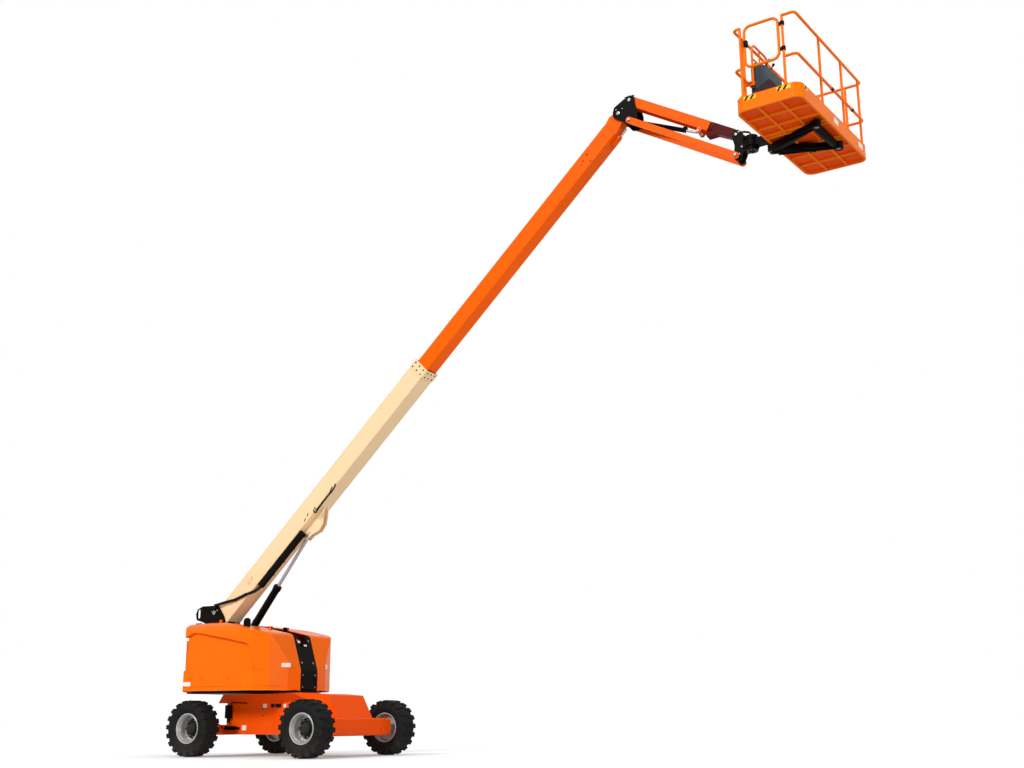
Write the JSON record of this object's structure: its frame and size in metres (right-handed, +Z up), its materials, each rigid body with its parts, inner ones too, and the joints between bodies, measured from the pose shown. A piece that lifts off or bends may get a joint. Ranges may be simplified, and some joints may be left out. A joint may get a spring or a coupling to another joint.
{
  "type": "telescopic boom lift",
  "caption": "Self-propelled work platform: four-wheel chassis, slewing turntable with hoods, two-section telescopic boom, levelled jib and railed basket.",
  "frame": {"origin": "on the ground under the slew axis, midway between the four wheels", "axes": "+X the way the boom points, +Y the machine's left side, +Z up"},
  "size_m": [11.1207, 2.484, 9.4522],
  "materials": {
    "orange_paint": "gloss",
    "orange_moulding": "gloss",
    "dark_red_paint": "gloss",
    "cream_paint": "gloss",
    "black_paint": "semi-gloss",
    "chrome_rod": "polished",
    "silver_rim": "satin",
    "tyre_rubber": "matte",
    "hose_rubber": "matte",
    "cast_ballast": "satin",
    "engine_metal": "satin",
    "tank_plastic": "matte",
    "slate_plastic": "matte"
  },
  "bodies": {
    "chassis": {"chassis_frame": "orange_paint", "drive_axle": "orange_paint", "steer_axle": "orange_paint", "steer_cylinder": "black_paint"},
    "knuckle_right": {"knuckle_steer_right": "black_paint"},
    "knuckle_left": {"knuckle_steer_left": "black_paint"},
    "tie": {"tie_rod": "chrome_rod"},
    "turntable": {"turntable_frame": "black_paint", "counterweight": "cast_ballast", "centre_cover": "black_paint", "engine_block": "engine_metal", "tank_block": "tank_plastic"},
    "hood_left": {"hood_left": "orange_moulding"},
    "hood_right": {"hood_right": "orange_moulding", "exhaust_stack": "black_paint"},
    "boom": {"base_boom": "cream_paint", "hose_carrier": "black_paint", "boom_hoses": "hose_rubber"},
    "fly": {"fly_boom": "orange_paint"},
    "lift_barrel": {"lift_barrel": "black_paint"},
    "lift_rod": {"lift_rod": "chrome_rod"},
    "nose": {"nose_bracket": "black_paint"},
    "jib": {"jib_beam": "orange_paint", "jib_end_tube": "dark_red_paint"},
    "link_left": {"jib_link_left": "orange_paint"},
    "link_right": {"jib_link_right": "orange_paint"},
    "jib_barrel": {"jib_barrel": "black_paint"},
    "jib_rod": {"jib_rod": "chrome_rod"},
    "jib_end": {"end_bracket": "black_paint"},
    "platform": {"rotator": "black_paint", "platform_support": "black_paint", "platform_floor": "orange_paint", "platform_rails": "orange_paint", "console": "slate_plastic"},
    "gate": {"gate": "orange_paint"},
    "wheel_steer_right": {"tyre_steer_right": "tyre_rubber", "rim_steer_right": "silver_rim"},
    "wheel_steer_left": {"tyre_steer_left": "tyre_rubber", "rim_steer_left": "silver_rim"},
    "wheel_drive_right": {"tyre_drive_right": "tyre_rubber", "rim_drive_right": "silver_rim"},
    "wheel_drive_left": {"tyre_drive_left": "tyre_rubber", "rim_drive_left": "silver_rim"}
  },
  "joints": [
    {"name": "steer_right", "type": "hinge", "parent": "chassis", "child": "knuckle_right", "pos_m": [-1.105, -0.745, 0.415], "axis": [0, 0, 1], "range_deg": [-30, 30]},
    {"name": "steer_left", "type": "hinge", "parent": "chassis", "child": "knuckle_left", "pos_m": [-1.105, 0.745, 0.415], "axis": [0, 0, 1], "range_deg": [-30, 30]},
    {"name": "tie_rod_slide", "type": "slide", "parent": "chassis", "child": "tie", "axis": [0, -1, 0], "range_m": [-0.09, 0.09]},
    {"name": "wheel_steer_right_spin", "type": "hinge", "parent": "knuckle_right", "child": "wheel_steer_right", "pos_m": [-1.105, -1, 0.415], "axis": [0, 1, 0], "continuous": true},
    {"name": "wheel_steer_left_spin", "type": "hinge", "parent": "knuckle_left", "child": "wheel_steer_left", "pos_m": [-1.105, 1, 0.415], "axis": [0, 1, 0], "continuous": true},
    {"name": "wheel_drive_right_spin", "type": "hinge", "parent": "chassis", "child": "wheel_drive_right", "pos_m": [1.105, -1, 0.415], "axis": [0, 1, 0], "continuous": true},
    {"name": "wheel_drive_left_spin", "type": "hinge", "parent": "chassis", "child": "wheel_drive_left", "pos_m": [1.105, 1, 0.415], "axis": [0, 1, 0], "continuous": true},
    {"name": "turntable_swing", "type": "hinge", "parent": "chassis", "child": "turntable", "pos_m": [0, 0, 0.92], "axis": [0, 0, 1], "continuous": true},
    {"name": "hood_left_lift", "type": "hinge", "parent": "turntable", "child": "hood_left", "pos_m": [-0.88, 0.205, 2.01567], "axis": [0.9912, 0, -0.1321], "range_deg": [0, 60]},
    {"name": "hood_right_lift", "type": "hinge", "parent": "turntable", "child": "hood_right", "pos_m": [-0.88, -0.205, 2.01567], "axis": [-0.9912, 0, 0.1321], "range_deg": [0, 60]},
    {"name": "boom_lift", "type": "hinge", "parent": "turntable", "child": "boom", "pos_m": [-1.56, 0, 2.22], "axis": [0, -1, 0], "range_deg": [-43.7, 28.3]},
    {"name": "fly_extend", "type": "slide", "parent": "boom", "child": "fly", "axis": [0.723, 0, 0.6909], "range_m": [-3.85, 0]},
    {"name": "lift_barrel_pivot", "type": "hinge", "parent": "turntable", "child": "lift_barrel", "pos_m": [-1.445, 0, 1.25], "axis": [0, -1, 0], "range_deg": [-32.5, 21.1]},
    {"name": "lift_rod_slide", "type": "slide", "parent": "lift_barrel", "child": "lift_rod", "axis": [0.6129, 0, 0.7902], "range_m": [-0.82, 0.53]},
    {"name": "nose_level", "type": "hinge", "parent": "fly", "child": "nose", "pos_m": [5.87003, 0, 9.19996], "axis": [0, -1, 0], "range_deg": [-28.4, 43.8]},
    {"name": "jib_lift", "type": "hinge", "parent": "nose", "child": "jib", "pos_m": [6.05003, 0, 9.37496], "axis": [0, -1, 0], "range_deg": [-29.5, 114.5]},
    {"name": "jib_link_left_pivot", "type": "hinge", "parent": "nose", "child": "link_left", "pos_m": [6.05003, 0, 9.03496], "axis": [0, -1, 0], "range_deg": [-29.6, 114.6]},
    {"name": "jib_link_right_pivot", "type": "hinge", "parent": "nose", "child": "link_right", "pos_m": [6.05003, 0, 9.03496], "axis": [0, -1, 0], "range_deg": [-29.6, 114.6]},
    {"name": "jib_barrel_pivot", "type": "hinge", "parent": "nose", "child": "jib_barrel", "pos_m": [6.10003, 0, 9.04996], "axis": [0, -1, 0], "range_deg": [-28.6, 110.6]},
    {"name": "jib_rod_slide", "type": "slide", "parent": "jib_barrel", "child": "jib_rod", "axis": [0.9208, 0, -0.39], "range_m": [-0.16, 0.6]},
    {"name": "jib_end_level", "type": "hinge", "parent": "jib", "child": "jib_end", "pos_m": [7.65266, 0, 8.43094], "axis": [0, -1, 0], "range_deg": [-114.6, 29.6]},
    {"name": "platform_rotate", "type": "hinge", "parent": "jib_end", "child": "platform", "pos_m": [7.84866, 0, 8.25], "axis": [0, 0, 1], "range_deg": [-85.5, 94.5]},
    {"name": "gate_swing", "type": "hinge", "parent": "platform", "child": "gate", "pos_m": [8.77168, -1.27234, 8.89594], "axis": [0, 0, -1], "range_deg": [0, 90]}
  ],
  "couplings": [
    {"joint": "steer_left", "follows": "steer_right", "ratio": 1},
    {"joint": "tie_rod_slide", "follows": "steer_right", "m_per_rad": 0.17},
    {"joint": "lift_barrel_pivot", "follows": "boom_lift", "ratio": 0.74},
    {"joint": "lift_rod_slide", "follows": "boom_lift", "m_per_rad": 1.06},
    {"joint": "nose_level", "follows": "boom_lift", "ratio": -1},
    {"joint": "jib_link_left_pivot", "follows": "jib_lift", "ratio": 1},
    {"joint": "jib_link_right_pivot", "follows": "jib_lift", "ratio": 1},
    {"joint": "jib_end_level", "follows": "jib_lift", "ratio": -1},
    {"joint": "jib_barrel_pivot", "follows": "jib_lift", "ratio": 0.965},
    {"joint": "jib_rod_slide", "follows": "jib_lift", "m_per_rad": 0.295}
  ]
}
